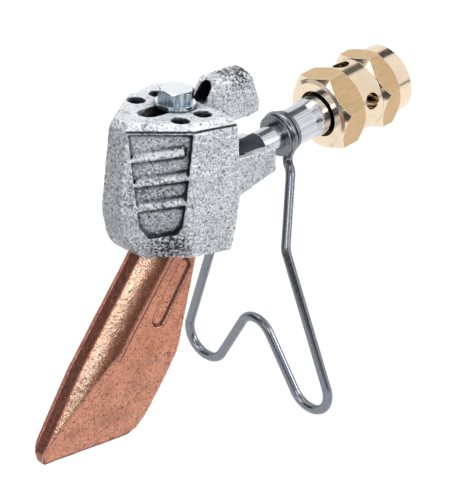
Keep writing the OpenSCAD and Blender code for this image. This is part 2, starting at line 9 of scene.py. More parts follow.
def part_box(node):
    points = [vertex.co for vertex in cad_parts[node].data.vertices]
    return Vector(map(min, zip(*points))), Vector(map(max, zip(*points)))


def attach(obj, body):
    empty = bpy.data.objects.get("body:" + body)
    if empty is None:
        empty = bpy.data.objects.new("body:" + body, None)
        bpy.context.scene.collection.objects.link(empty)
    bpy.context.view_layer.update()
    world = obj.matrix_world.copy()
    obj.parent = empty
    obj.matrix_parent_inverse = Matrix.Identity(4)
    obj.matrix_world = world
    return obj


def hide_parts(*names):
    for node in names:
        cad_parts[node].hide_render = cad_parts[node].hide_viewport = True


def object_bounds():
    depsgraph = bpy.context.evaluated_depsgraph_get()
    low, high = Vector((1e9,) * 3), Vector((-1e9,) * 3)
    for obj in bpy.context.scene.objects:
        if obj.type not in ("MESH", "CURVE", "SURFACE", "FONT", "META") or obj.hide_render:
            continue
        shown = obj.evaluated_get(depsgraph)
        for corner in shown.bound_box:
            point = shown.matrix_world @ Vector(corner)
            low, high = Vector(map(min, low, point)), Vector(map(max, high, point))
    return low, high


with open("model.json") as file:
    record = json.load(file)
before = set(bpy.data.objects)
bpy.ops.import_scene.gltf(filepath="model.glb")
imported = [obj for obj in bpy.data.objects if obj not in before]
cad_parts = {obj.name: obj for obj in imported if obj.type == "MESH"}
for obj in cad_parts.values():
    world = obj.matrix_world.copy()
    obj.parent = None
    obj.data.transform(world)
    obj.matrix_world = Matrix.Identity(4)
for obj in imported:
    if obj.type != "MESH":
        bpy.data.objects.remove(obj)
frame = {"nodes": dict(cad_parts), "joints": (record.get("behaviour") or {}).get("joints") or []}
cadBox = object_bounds()
middle = (cadBox[0] + cadBox[1]) / 2
parts = frame["nodes"]
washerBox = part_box("clamp_washer")
boltFoot = Vector((washerBox[0] + washerBox[1]) / 2)
boltFoot.z = washerBox[0].z  # the washer lies on the head's flat top
tubeJoint = next(j for j in frame["joints"] if j["name"] == "stand_swivel")
tubeAxis = Vector(tubeJoint["axis"])
tubePoint = Vector(tubeJoint["pos_m"])
mm = 0.001
weldReach = 1e-6  # metres between points that are one
edgeSamples, creviceSamples = 4, 8
print("frame loaded:", len(parts), "CAD nodes")


# small helpers for node trees

def startMaterial(name):
    material = bpy.data.materials.new(name)
    material.use_nodes = True
    tree = material.node_tree
    return material, tree, tree.nodes["Principled BSDF"]


def addNode(tree, kind, **inputs):
    made = tree.nodes.new(kind)
    for name, value in inputs.items():
        made.inputs[name].default_value = value
    return made


def plug(tree, value, socket):  # a link, a colour, or a plain number or vector
    if isinstance(value, bpy.types.NodeSocket):
        tree.links.new(value, socket)
    elif isinstance(value, tuple):
        socket.default_value = (*value, 1)
    else:
        socket.default_value = value


def objectCoord(tree):
    return addNode(tree, "ShaderNodeTexCoord").outputs["Object"]


def mapped(tree, coord, rotation=(0, 0, 0), scale=(1, 1, 1), location=(0, 0, 0)):
    made = addNode(tree, "ShaderNodeMapping", Rotation=rotation, Scale=scale, Location=location)
    tree.links.new(coord, made.inputs["Vector"])
    return made.outputs["Vector"]


def alongTube(tree):  # x along the tube, y and z across it
    tilt = math.atan2(tubeAxis.z, tubeAxis.x)
    moved = mapped(tree, objectCoord(tree), location=tuple(-tubePoint))
    return mapped(tree, moved, rotation=(0, tilt, 0))


def noise(tree, coord, scale, detail=3, roughness=0.55, distortion=0):
    made = addNode(tree, "ShaderNodeTexNoise", Scale=scale, Detail=detail, Roughness=roughness,
                   Distortion=distortion)
    tree.links.new(coord, made.inputs["Vector"])
    return made.outputs[0]


def ramp(tree, source, stops):
    made = tree.nodes.new("ShaderNodeValToRGB")
    elements = made.color_ramp.elements
    while len(elements) < len(stops):
        elements.new(0.5)
    for element, (place, colour) in zip(elements, stops):
        element.position = place
        element.color = (*colour, 1) if isinstance(colour, tuple) else (colour, colour, colour, 1)
    tree.links.new(source, made.inputs["Fac"])
    return made.outputs["Color"]


def mixColour(tree, factor, first, second):
    made = tree.nodes.new("ShaderNodeMix")
    made.data_type = "RGBA"
    plug(tree, factor, made.inputs[0])
    plug(tree, first, made.inputs[6])  # the node's colour sockets
    plug(tree, second, made.inputs[7])
    return made.outputs[2]


def layer(tree, under, source, stops, over):  # one colour over another, where the ramp says
    return mixColour(tree, ramp(tree, source, stops), under, over)


def sums(tree, operation, first, second=0.0):
    made = tree.nodes.new("ShaderNodeMath")
    made.operation = operation
    plug(tree, first, made.inputs[0])
    plug(tree, second, made.inputs[1])
    return made.outputs[0]


def times(tree, first, second):
    return sums(tree, "MULTIPLY", first, second)


def vectorSum(tree, operation, first, second):
    made = tree.nodes.new("ShaderNodeVectorMath")
    made.operation = operation
    plug(tree, first, made.inputs[0])
    plug(tree, second, made.inputs[1])
    return made.outputs["Value"]


def spread(tree, source, low, high, reach=1.0):  # 0 to reach becomes low to high
    made = addNode(tree, "ShaderNodeMapRange", **{"From Max": reach, "To Min": low, "To Max": high})
    tree.links.new(source, made.inputs["Value"])
    return made.outputs["Result"]


def bump(tree, height, depth, strength=1.0, normal=None):
    made = addNode(tree, "ShaderNodeBump", Strength=strength, Distance=depth)
    tree.links.new(height, made.inputs["Height"])
    if normal is not None:
        tree.links.new(normal, made.inputs["Normal"])
    return made.outputs["Normal"]


def roundedEdge(tree, radius):
    made = addNode(tree, "ShaderNodeBevel", Radius=radius)
    made.samples = edgeSamples
    return made.outputs["Normal"]


def surface(tree, reading):  # Normal, True Normal or Pointiness
    return tree.nodes.new("ShaderNodeNewGeometry").outputs[reading]


def nearCrevice(tree, distance):
    made = addNode(tree, "ShaderNodeAmbientOcclusion", Distance=distance)
    made.samples = creviceSamples
    return made.outputs["AO"]


def creaseDepth(tree):
    made = tree.nodes.new("ShaderNodeAttribute")
    made.attribute_name = "crease"
    return made.outputs["Fac"]


def parted(tree, vector):
    made = tree.nodes.new("ShaderNodeSeparateXYZ")
    tree.links.new(vector, made.inputs[0])
    return made.outputs


def finishMetal(tree, shader, look, colour, roughness, normal):
    shader.inputs["Metallic"].default_value = look["metallic"]
    tree.links.new(colour, shader.inputs["Base Color"])
    plug(tree, roughness, shader.inputs["Roughness"])
    tree.links.new(normal, shader.inputs["Normal"])


def dress(thing, material):
    thing.data.materials.clear()
    thing.data.materials.append(material)


# copies of CAD nodes that get a shape of their own

def copiedNode(node, name):
    piece = bpy.data.objects.new(name, parts[node].data.copy())
    bpy.context.scene.collection.objects.link(piece)
    weld = piece.modifiers.new("weld", "WELD")
    weld.merge_threshold = weldReach
    return piece


def settle(piece):  # the piece's mesh with its modifiers applied
    bpy.context.view_layer.update()
    shaped = bpy.data.meshes.new_from_object(piece.evaluated_get(bpy.context.evaluated_depsgraph_get()))
    piece.modifiers.clear()
    piece.data = shaped
    shaped.polygons.foreach_set("use_smooth", [True] * len(shaped.polygons))


def markCreases(mesh, rounds):  # how far each point lies under its neighbourhood, in millimetres
    count = len(mesh.vertices)
    points = np.zeros(count * 3)
    mesh.vertices.foreach_get("co", points)
    points = points.reshape(-1, 3)
    normals = np.zeros(count * 3)
    mesh.vertex_normals.foreach_get("vector", normals)
    ends = np.zeros(len(mesh.edges) * 2, dtype=np.int64)
    mesh.edges.foreach_get("vertices", ends)
    first, second = ends[0::2], ends[1::2]
    links = np.bincount(ends, minlength=count)[:, None]
    level = points.copy()
    for _ in range(rounds):
        total = np.empty_like(level)
        for axis in range(3):
            total[:, axis] = np.bincount(first, level[second, axis], count)
            total[:, axis] += np.bincount(second, level[first, axis], count)
        level = 0.5 * level + 0.5 * total / links
    depth = ((level - points) * normals.reshape(-1, 3)).sum(axis=1) / mm
    mesh.attributes.new("crease", "FLOAT", "POINT").data.foreach_set("value", depth.astype(np.float32))


def softened(node, name, look):  # a cast or forged copy, with its sharp edges taken off
    piece = copiedNode(node, name)
    grid = piece.modifiers.new("grid", "REMESH")
    grid.mode = "VOXEL"
    grid.voxel_size = look["voxel"]
    soft = piece.modifiers.new("soft", "SMOOTH")
    soft.factor = 0.5
    soft.iterations = look["smoothing"]
    settle(piece)
    markCreases(piece.data, look["creaseRounds"])
    for size, depth in look["unevenness"]:
        clouds = bpy.data.textures.new(name + "Uneven", "CLOUDS")
        clouds.noise_scale = size
        clouds.noise_depth = 2
        uneven = piece.modifiers.new("uneven", "DISPLACE")
        uneven.texture = clouds
        uneven.texture_coords = "LOCAL"
        uneven.strength = depth
        uneven.mid_level = 0.5
    settle(piece)
    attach(piece, "tool")
    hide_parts(node)
    print(name, "softened:", len(piece.data.vertices), "points")
    return piece


# the galvanised head
# in the looks, a noise is given as scale, detail, roughness and distortion, and stops belong to a ramp

headLook = {
    "voxel": 0.35 * mm,
    "smoothing": 2,
    "creaseRounds": 26,
    "unevenness": [(7 * mm, 0.3 * mm), (1.5 * mm, 0.42 * mm)],  # size and depth
    "zinc": (0.92, 0.945, 0.98),
    "shade": (0.27, 0.30, 0.35),
    "recessShade": (0.12, 0.135, 0.165),
    "pitShade": (0.05, 0.055, 0.07),
    "warm": (0.62, 0.51, 0.36),
    "shadeBlack": (0.02, 0.021, 0.026),
    "metallic": 0.75,
    "rough": (0.25, 0.42),
    "grain": (850, 4, 0.6),
    "grainDepth": 0.85 * mm,
    "topLight": 0.14,  # how much lighter a face that looks up is painted: painted light on tops, painted shade under things
    "cleanStops": [(0.32, 0.0), (0.57, 1.0)],
    "clouds": (130, 3),
    "cloudStops": [(0.42, 0.0), (0.72, 0.3)],
    "flecks": (340, 4, 0.65),
    "fleckStops": [(0.6, 0.0), (0.68, 0.45)],
    "lumps": (480, 2),
    "pits": (800, 3, 0.6),
    "pitStops": [(0.33, 0.85), (0.40, 0.0)],
    "pitDip": 0.12,
    "hollowShadeStops": [(0.45, 0.85), (0.492, 0.0)],
    "edgeHighlightStops": [(0.52, 0.0), (0.57, 0.75)],
    "recessReach": 7 * mm,
    "recessStops": [(0.62, 0.52), (0.97, 0.0)],
    "creviceReach": 3 * mm,
    "creviceStops": [(0.55, 0.95), (0.84, 0.0)],
    "insideReach": 12 * mm,
    "insideStops": [(0.4, 1.0), (0.58, 0.0)],
    "ragged": 0.4,  # how much the grain frays the edge of the painted shade
    "cornerStops": [(0.025, 0.0), (0.08, 0.97)],
    "noseReach": 28 * mm,  # from the bolt to where the painted shade is faintest, on the nose
    "paintedLight": 18 * mm,  # the length over which that ends
    "noseFadeStops": [(0.0, 0.25), (1.0, 1.0)],
    "groove": (3 * mm, 0.9 * mm),  # its drop below the top, and the reach of its painted shade
    "grooveStops": [(0.35, 0.95), (0.8, 0.0)],
    "sidewaysStops": [(0.35, 0.0), (0.6, 1.0)],
    "grooveWall": 10 * mm,  # the walls with the groove lie further out than the hood
    "wallSlant": 0.3,  # and more so behind the bolt
    "spotPlaces": [  # dark speckled spots, mostly painted shade: from the bolt's foot, then the radius and strength
        ((-13 * mm, -15.5 * mm, -52 * mm), 12 * mm, 1.0),
        ((-13 * mm, 15.5 * mm, -52 * mm), 12 * mm, 1.0),
        ((30 * mm, -1 * mm, 9 * mm), 14 * mm, 1.0),
        ((-19 * mm, -12.5 * mm, -28 * mm), 21 * mm, 0.48),
        ((-19 * mm, 12.5 * mm, -28 * mm), 21 * mm, 0.48),
        ((-22 * mm, -8 * mm, -2 * mm), 9 * mm, 0.5),
        ((-22 * mm, 8 * mm, -2 * mm), 9 * mm, 0.5),
    ],
    "speckleStops": [(0.42, 1.0), (0.58, 0.15)],
    "spotStops": [(0.1, 0.0), (0.55, 0.95)],
}


def grooveShade(tree, coord, ragged, look):  # painted shade of a groove, on the walls that face sideways
    drop, reach = look["groove"]
    place = parted(tree, coord)
    level = sums(tree, "SUBTRACT", place["Z"], boltFoot.z - drop)
    away = sums(tree, "SUBTRACT", sums(tree, "DIVIDE", sums(tree, "ABSOLUTE", level), reach), ragged)
    wall = parted(tree, surface(tree, "True Normal"))["Y"]
    sideways = ramp(tree, sums(tree, "ABSOLUTE", wall), look["sidewaysStops"])
    behind = times(tree, sums(tree, "SUBTRACT", place["X"], boltFoot.x), look["wallSlant"])
    outward = sums(tree, "SUBTRACT", sums(tree, "ABSOLUTE", place["Y"]), behind)
    outside = sums(tree, "GREATER_THAN", outward, look["grooveWall"])
    creviceShade = times(tree, ramp(tree, away, look["grooveStops"]), sideways)
    return times(tree, creviceShade, outside)


# dark speckled spots, mostly painted shade on the chin, the panel fields and the nose corners
def darkSpots(tree, coord, grain, look):
    spotted = None
    for centre, radius, strength in look["spotPlaces"]:
        away = vectorSum(tree, "DISTANCE", coord, boltFoot + Vector(centre))
        spot = spread(tree, away, strength, 0.0, radius)
        spotted = spot if spotted is None else sums(tree, "MAXIMUM", spotted, spot)
    speckle = times(tree, spotted, ramp(tree, grain, look["speckleStops"]))
    return ramp(tree, speckle, look["spotStops"])


def galvanised(look):
    material, tree, shader = startMaterial("galvanisedCasting")
    coord = objectCoord(tree)
    grain = noise(tree, coord, *look["grain"])
    upward = parted(tree, surface(tree, "Normal"))["Z"]
    # faces that look up are painted lighter and faces that look down darker: painted light and shade
    grainAndTopLight = sums(tree, "ADD", grain, times(tree, upward, look["topLight"]))
    colour = layer(tree, look["shade"], grainAndTopLight, look["cleanStops"], look["zinc"])
    colour = layer(tree, colour, noise(tree, coord, *look["clouds"]), look["cloudStops"], look["shade"])
    colour = layer(tree, colour, noise(tree, coord, *look["flecks"]), look["fleckStops"], look["warm"])
    # the pits and hollows are painted near black: painted shade in them
    pits = ramp(tree, noise(tree, coord, *look["pits"]), look["pitStops"])
    colour = mixColour(tree, pits, colour, look["pitShade"])
    colour = layer(tree, colour, surface(tree, "Pointiness"), look["hollowShadeStops"], look["pitShade"])
    # convex edges are painted lighter: painted highlight
    colour = layer(tree, colour, surface(tree, "Pointiness"), look["edgeHighlightStops"], look["zinc"])
    # painted shade near the walls of recesses, such as the sunk panel
    recessShade = nearCrevice(tree, look["recessReach"])
    colour = layer(tree, colour, recessShade, look["recessStops"], look["recessShade"])

    # painted shade in the crevices and corners, less on the nose
    fromNose = sums(tree, "ADD", parted(tree, coord)["X"], look["noseReach"] - boltFoot.x)
    paintedLight = ramp(tree, sums(tree, "DIVIDE", fromNose, look["paintedLight"]), look["noseFadeStops"])
    crevice = ramp(tree, nearCrevice(tree, look["creviceReach"]), look["creviceStops"])
    colour = mixColour(tree, times(tree, crevice, paintedLight), colour, look["shadeBlack"])
    ragged = times(tree, sums(tree, "SUBTRACT", grain, 0.5), look["ragged"])
    corners = ramp(tree, sums(tree, "ADD", creaseDepth(tree), ragged), look["cornerStops"])
    colour = mixColour(tree, times(tree, corners, paintedLight), colour, look["shadeBlack"])
    colour = mixColour(tree, grooveShade(tree, coord, ragged, look), colour, look["shadeBlack"])
    # painted shade deep inside the hood and vents
    inside = nearCrevice(tree, look["insideReach"])
    colour = layer(tree, colour, inside, look["insideStops"], look["shadeBlack"])
    colour = mixColour(tree, darkSpots(tree, coord, grain, look), colour, look["shadeBlack"])

    lumps = noise(tree, coord, *look["lumps"])
    height = sums(tree, "SUBTRACT", sums(tree, "ADD", grain, lumps), times(tree, pits, look["pitDip"]))
    roughness = spread(tree, grain, *look["rough"])
    finishMetal(tree, shader, look, colour, roughness, bump(tree, height, look["grainDepth"]))
    return material


head = softened("head_casting", "castHead", headLook)
dress(head, galvanised(headLook))


# the copper bit

bitLook = {
    "voxel": 0.38 * mm,
    "smoothing": 2,
    "creaseRounds": 12,
    "unevenness": [(9 * mm, 0.25 * mm), (1.1 * mm, 0.14 * mm)],  # size and depth
    "copper": (0.55, 0.20, 0.115),
    "pale": (0.78, 0.375, 0.26),
    "rollHighlight": (1.0, 0.74, 0.56),
    "brown": (0.30, 0.115, 0.07),
    "dark": (0.10, 0.045, 0.035),
    "orange": (0.60, 0.25, 0.10),
    "rollShade": (0.125, 0.046, 0.03),
    "scale": (0.29, 0.112, 0.082),
    "metallic": 0.85,
    "rough": (0.2, 0.34),
    "grain": (1600, 4, 0.6),
    "grainDepth": 0.17 * mm,
    "grainStops": [(0.35, 0.0), (0.65, 1.0)],
    "clouds": (95, 4, 0.6, 0.4),
    "cloudStops": [(0.46, 0.0), (0.7, 0.55)],
    "rust": (210, 4, 0.6, 0.6),
    "rustStops": [(0.57, 0.0), (0.66, 0.55)],
    "veins": (150, 4, 0.6, 1.2),
    "veinStops": [(0.48, 0.0), (0.5, 0.85), (0.52, 0.0)],
    "pits": (900, 3, 0.6),
    "pitStops": [(0.35, 0.85), (0.42, 0.0)],
    "pitDip": 0.5,
    "hollowShadeStops": [(0.45, 0.85), (0.49, 0.0)],
    "edgeHighlightStops": [(0.515, 0.0), (0.56, 0.8)],
    "highlightStops": [(0.42, 0.0), (0.52, 0.9), (0.64, 0.9), (0.7, 0.4), (0.76, 0.0)],
    "highlightGrain": [(0.41, 0.0), (0.53, 1.0)],
    "rollEdge": 2.4 * mm,  # width of the painted shade where the roll meets the flat
    "rollStops": [(0.1, 0.0), (0.17, 0.95), (0.3, 0.9), (0.38, 0.6), (0.5, 0.0)],
    "creviceReach": 2 * mm,
    "creviceStops": [(0.55, 0.9), (0.9, 0.0)],
    "cornerStops": [(0.02, 0.0), (0.07, 0.9)],
    "frontStops": [(0.7, 0.0), (0.78, 0.85)],
}


def forgedCopper(look):
    material, tree, shader = startMaterial("forgedCopper")
    coord = objectCoord(tree)
    grain = noise(tree, coord, *look["grain"])
    cloud = noise(tree, coord, *look["clouds"])
    colour = layer(tree, look["copper"], grain, look["grainStops"], look["pale"])
    colour = layer(tree, colour, cloud, look["cloudStops"], look["brown"])
    colour = layer(tree, colour, noise(tree, coord, *look["rust"]), look["rustStops"], look["orange"])
    colour = layer(tree, colour, noise(tree, coord, *look["veins"]), look["veinStops"], look["brown"])
    # the pits and hollows are painted dark: painted shade in them
    pits = ramp(tree, noise(tree, coord, *look["pits"]), look["pitStops"])
    colour = mixColour(tree, pits, colour, look["dark"])
    colour = layer(tree, colour, surface(tree, "Pointiness"), look["hollowShadeStops"], look["dark"])
    # convex edges are painted paler: painted highlight
    colour = layer(tree, colour, surface(tree, "Pointiness"), look["edgeHighlightStops"], look["pale"])

    # the roll gets a painted highlight, with painted shade beside it
    forward = times(tree, parted(tree, surface(tree, "Normal"))["X"], -1.0)
    rollHighlight = times(tree, ramp(tree, forward, look["highlightStops"]), ramp(tree, grain, look["highlightGrain"]))
    colour = mixColour(tree, rollHighlight, colour, look["rollHighlight"])
    turning = times(tree, parted(tree, roundedEdge(tree, look["rollEdge"]))["X"], -1.0)
    colour = layer(tree, colour, turning, look["rollStops"], look["rollShade"])

    # the crevices and creases are painted dark: painted shade
    crevice = nearCrevice(tree, look["creviceReach"])
    colour = layer(tree, colour, crevice, look["creviceStops"], look["dark"])
    colour = layer(tree, colour, creaseDepth(tree), look["cornerStops"], look["dark"])
    colour = layer(tree, colour, forward, look["frontStops"], look["scale"])  # forward-facing faces painted darker: painted shade
    height = sums(tree, "SUBTRACT", grain, times(tree, pits, look["pitDip"]))
    roughness = spread(tree, cloud, *look["rough"])
    finishMetal(tree, shader, look, colour, roughness, bump(tree, height, look["grainDepth"]))
    return material


bit = softened("copper_bit", "copperHatchet", bitLook)
dress(bit, forgedCopper(bitLook))


# bolt and washer

boltLook = {
    "zinc": (0.88, 0.93, 0.96),
    "dull": (0.26, 0.345, 0.41),
    "creviceShade": (0.12, 0.13, 0.14),
    "metallic": 1.0,
    "rough": (0.16, 0.3),
    "streakScale": (900, 900, 160),
    "streaks": (1, 4, 0.6),
    "streakStops": [(0.36, 0.25), (0.56, 1.0)],
    "uprightStops": [(0.93, 1.0), (0.99, 0.1)],  # the flat top is kept free of the dark streaks: painted light on the top, painted shade on the sides and chamfer
    "creviceReach": 2 * mm,
    "creviceStops": [(0.2, 0.5), (0.55, 0.0)],
    "fine": (2600, 2),
    "fineBump": (0.02 * mm, 0.5),  # depth and strength
    "edge": 0.3 * mm,
}


def zincPlate(look):
    material, tree, shader = startMaterial("zincPlate")
    coord = objectCoord(tree)
    cloud = noise(tree, mapped(tree, coord, scale=look["streakScale"]), *look["streaks"])
    upward = sums(tree, "ABSOLUTE", parted(tree, surface(tree, "Normal"))["Z"])
    upright = ramp(tree, upward, look["uprightStops"])
    # the streaks stay off the top: painted light on the top, painted shade on the sides and chamfer
    streaks = times(tree, ramp(tree, cloud, look["streakStops"]), upright)
    colour = mixColour(tree, streaks, look["zinc"], look["dull"])
    # the crevices are painted dark: painted shade
    crevice = nearCrevice(tree, look["creviceReach"])
    colour = layer(tree, colour, crevice, look["creviceStops"], look["creviceShade"])
    fine = noise(tree, coord, *look["fine"])
    normal = bump(tree, fine, *look["fineBump"], roundedEdge(tree, look["edge"]))
    finishMetal(tree, shader, look, colour, spread(tree, cloud, *look["rough"]), normal)
    return material


plate = zincPlate(boltLook)
for node in ("clamp_bolt", "clamp_washer"):
    dress(parts[node], plate)


# bright steel of the tube, the discs and the stand

steelLook = {
    "finishes": {  # colour, least roughness, edge radius, strength of the drawn streaks, nodes
        "tubeSteel": ((0.68, 0.70, 0.74), 0.12, 0.3 * mm, 0.45, ["burner_tube"]),
        "wireSteel": ((0.24, 0.26, 0.30), 0.2, 0.1 * mm, 0.3, ["wire_stand"]),
        "discSteel": ((0.23, 0.245, 0.275), 0.2, 0.2 * mm, 0.5,
                      ["stand_front_disc", "stand_rear_disc", "step_ring"]),
    },
    "creviceShade": (0.05, 0.05, 0.06),
    "metallic": 1.0,
    "roughSpan": 0.14,
    "clouds": (160, 4, 0.6),
    "drawnScale": (10, 1300, 1300),
    "drawn": (1, 3, 0.6),
    "drawnStops": (0.42, 0.62),  # where the streaks start and are full
    "drawnShade": 0.4,  # of the base colour
    "creviceReach": 2 * mm,
    "creviceStops": [(0.3, 0.7), (0.7, 0.0)],
    "turnedScale": (3200, 60, 60),
    "turned": (1, 2),
    "turnedBump": (0.01 * mm, 0.35),  # depth and strength
}


def brightSteel(look, name, base, rough, edge, streak):
    material, tree, shader = startMaterial(name)
    cloud = noise(tree, objectCoord(tree), *look["clouds"])
    drawn = noise(tree, mapped(tree, alongTube(tree), scale=look["drawnScale"]), *look["drawn"])
    start, end = look["drawnStops"]
    darker = tuple(look["drawnShade"] * c for c in base)
    colour = layer(tree, base, drawn, [(start, 0.0), (end, streak)], darker)
    # the crevices are painted dark: painted shade
    crevice = nearCrevice(tree, look["creviceReach"])
    colour = layer(tree, colour, crevice, look["creviceStops"], look["creviceShade"])
    roughness = spread(tree, cloud, rough, rough + look["roughSpan"])
    turned = noise(tree, mapped(tree, alongTube(tree), scale=look["turnedScale"]), *look["turned"])
    normal = bump(tree, turned, *look["turnedBump"], roundedEdge(tree, edge))
    finishMetal(tree, shader, look, colour, roughness, normal)
    return material


for name, (base, rough, edge, streak, nodes) in steelLook["finishes"].items():
    steel = brightSteel(steelLook, name, base, rough, edge, streak)
    for node in nodes:
        dress(parts[node], steel)


# heat-darkened nozzle and the gauze behind the jet

nozzleLook = {
    "heatStops": [(0.3, (0.03, 0.03, 0.033)), (0.52, (0.05, 0.056, 0.078)), (0.72, (0.10, 0.07, 0.042))],
    "metallic": 0.8,
    "rough": (0.45, 0.7),
    "clouds": (260, 5, 0.6),
    "grain": (1500, 3),
    "grainDepth": 0.06 * mm,
}


def heatedSteel(look):
    material, tree, shader = startMaterial("heatedSteel")
    coord = objectCoord(tree)
    cloud = noise(tree, coord, *look["clouds"])
    normal = bump(tree, noise(tree, coord, *look["grain"]), look["grainDepth"])
    colour = ramp(tree, cloud, look["heatStops"])  # scale, blue and straw
    finishMetal(tree, shader, look, colour, spread(tree, cloud, *look["rough"]), normal)
    return material


dress(parts["flame_nozzle"], heatedSteel(nozzleLook))

gauzeLook = {
    "weaveStops": [(0.55, (0.06, 0.06, 0.06)), (0.8, (0.58, 0.57, 0.54))],  # gap and wire
    "weaveScale": 340,
    "weaveDepth": 0.1 * mm,
    "metallic": 0.9,
    "rough": 0.42,
}


def wireGauze(look):
    material, tree, shader = startMaterial("wireGauze")
    coord = alongTube(tree)
    bands = []
    for direction in ("Y", "Z"):
        made = addNode(tree, "ShaderNodeTexWave", Scale=look["weaveScale"])
        made.bands_direction = direction
        tree.links.new(coord, made.inputs["Vector"])
        bands.append(made.outputs["Fac"])
    weave = sums(tree, "MAXIMUM", *bands)
    colour = ramp(tree, weave, look["weaveStops"])
    finishMetal(tree, shader, look, colour, look["rough"], bump(tree, weave, look["weaveDepth"]))
    return material


dress(parts["jet_filter"], wireGauze(gauzeLook))


# brass mixer: the CAD node with deeper chamfers and a longer front hexagon

mixerShape = {  # all lengths along the tube are from the mixer's front face
    "halfFlats": 15 * mm,
    "frontHexEnd": 12.9 * mm,
    "ring": (9.9 * mm, 14.2 * mm),  # where the added ring starts, and its inner radius
    "ringSteps": 72,
    "rearHex": (23.2 * mm, 33.1 * mm),
    "frontLip": 14.3 * mm,
    "lip": 14.63 * mm,  # radius at the foot of each chamfer, just over the neck's
    "clear": 18 * mm,  # outside the hexagons' corners
    "spare": 1 * mm,  # past both ends
    "slope": 42,  # degrees
    "segments": 96,
    "sharp": 19,  # degrees between faces that stay a crisp edge
}


def ringOfPoints(place, along, turns, radii):
    row = []
    for turn, radius in zip(turns, radii):
        row.append(place @ Vector((along, radius * math.cos(turn), radius * math.sin(turn))))
    return row


def bodyOfRings(name, rows, closed):  # closed back to its first ring, or capped at both ends
    count = len(rows[0])
    last = len(rows) - 1
    faces = []
    for row in range(len(rows) if closed else last):
        after = (row + 1) % len(rows)
        for i in range(count):
            j = (i + 1) % count
            faces.append((row * count + i, row * count + j, after * count + j, after * count + i))
    if not closed:
        faces.append(tuple(reversed(range(count))))
        faces.append(tuple(range(last * count, (last + 1) * count)))
    mesh = bpy.data.meshes.new(name)
    mesh.from_pydata([point for row in rows for point in row], [], faces)
    body = bpy.data.objects.new(name, mesh)
    bpy.context.scene.collection.objects.link(body)
    return body


def mixerEnvelope(shape, place, length):  # a turned body whose cones cut the chamfers
    cone = math.tan(math.radians(shape["slope"]))
    run = (shape["clear"] - shape["lip"]) * cone
    frontRun = (shape["clear"] - shape["frontLip"]) * cone
    rearStart, rearEnd = shape["rearHex"]
    profile = [
        (-shape["spare"], shape["frontLip"]),
        (0, shape["frontLip"]),
        (frontRun, shape["clear"]),
        (shape["frontHexEnd"] - run, shape["clear"]),
        (shape["frontHexEnd"], shape["lip"]),
        (rearStart, shape["lip"]),
        (rearStart + run, shape["clear"]),
        (rearEnd - run, shape["clear"]),
        (rearEnd, shape["lip"]),
        (length + shape["spare"], shape["lip"]),
    ]
    count = shape["segments"]
    turns = [2 * math.pi * i / count for i in range(count)]
    rows = [ringOfPoints(place, along, turns, [radius] * count) for along, radius in profile]
    return bodyOfRings("mixerEnvelope", rows, False)


def hexagonRing(shape, place, corner):  # carries the front hexagon on to its full length
    start, inner = shape["ring"]
    end = shape["frontHexEnd"]
    count = shape["ringSteps"]
    side = 360 / 6  # degrees that one flat takes up
    steps = [360 / count * i for i in range(count)]
    turns = [corner + math.radians(step) for step in steps]
    walls = [shape["halfFlats"] / math.cos(math.radians(step % side - side / 2)) for step in steps]
    bore = [inner] * count
    outline = ((start, walls), (end, walls), (end, bore), (start, bore))
    rows = [ringOfPoints(place, along, turns, radii) for along, radii in outline]
    return bodyOfRings("hexagonRing", rows, True)


def shapeMixer(shape):
    piece = copiedNode("mixer_body", "brassMixer")
    across = Vector((0, 1, 0))
    axes = Matrix((tubeAxis, across, tubeAxis.cross(across))).transposed()
    local = [axes.inverted() @ (v.co - tubePoint) for v in piece.data.vertices]
    front, back = min(p.x for p in local), max(p.x for p in local)
    furthest = max(local, key=lambda p: p.y * p.y + p.z * p.z)  # on a corner of a hexagon
    place = Matrix.Translation(tubePoint + front * tubeAxis) @ axes.to_4x4()
    envelope = mixerEnvelope(shape, place, back - front)
    ring = hexagonRing(shape, place, math.atan2(furthest.z, furthest.y))
    for operation, helper in (("UNION", ring), ("INTERSECT", envelope)):
        cut = piece.modifiers.new(operation.lower(), "BOOLEAN")
        cut.operation = operation
        cut.solver = "EXACT"
        cut.object = helper
    settle(piece)
    for helper in (envelope, ring):
        bpy.data.objects.remove(helper)
    stale = piece.data.attributes["custom_normal"]  # the CAD's, wrong after the cuts
    piece.data.attributes.remove(stale)
    piece.data.set_sharp_from_angle(angle=math.radians(shape["sharp"]))
    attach(piece, "tool")
    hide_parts("mixer_body")
    print("brassMixer shaped:", len(piece.data.vertices), "points")
    return piece


brassLook = {
    "gold": (0.88, 0.73, 0.55),
    "flat": (0.69, 0.48, 0.265),
    "deep": (0.29, 0.18, 0.08),
    "paintedLight": (1.0, 0.92, 0.80),
    "creviceShade": (0.09, 0.055, 0.02),
    "metallic": 1.0,
    "turnedRough": 0.16,
    "flatRough": 0.4,
    "latheLines": 2600,
    "turned": (1, 2),
    "brushScale": (140, 2400, 2400),
    "brushed": (1, 3),
    "brushStops": [(0.42, 0.0), (0.6, 0.22)],
    "clouds": (120, 4, 0.6),
    "cloudStops": [(0.45, 0.0), (0.75, 0.15)],
    "radiusSpan": 50 * mm,
    "flatsStops": [(0.291, 0.0), (0.295, 1.0)],  # of that span, where the flats begin
    "levelStops": [(0.05, 1.0), (0.15, 0.0)],  # faces along the tube, not the chamfers
    "edgeLine": 0.45 * mm,  # width of the painted highlight along a hexagon's edge
    "edgeHighlightStops": [(0.88, 0.9), (0.97, 0.0)],
    "creviceReach": 3 * mm,
    "creviceStops": [(0.25, 0.8), (0.7, 0.0)],
    "marksBump": (0.02 * mm, 0.45),  # depth and strength
    "edge": 0.3 * mm,
}


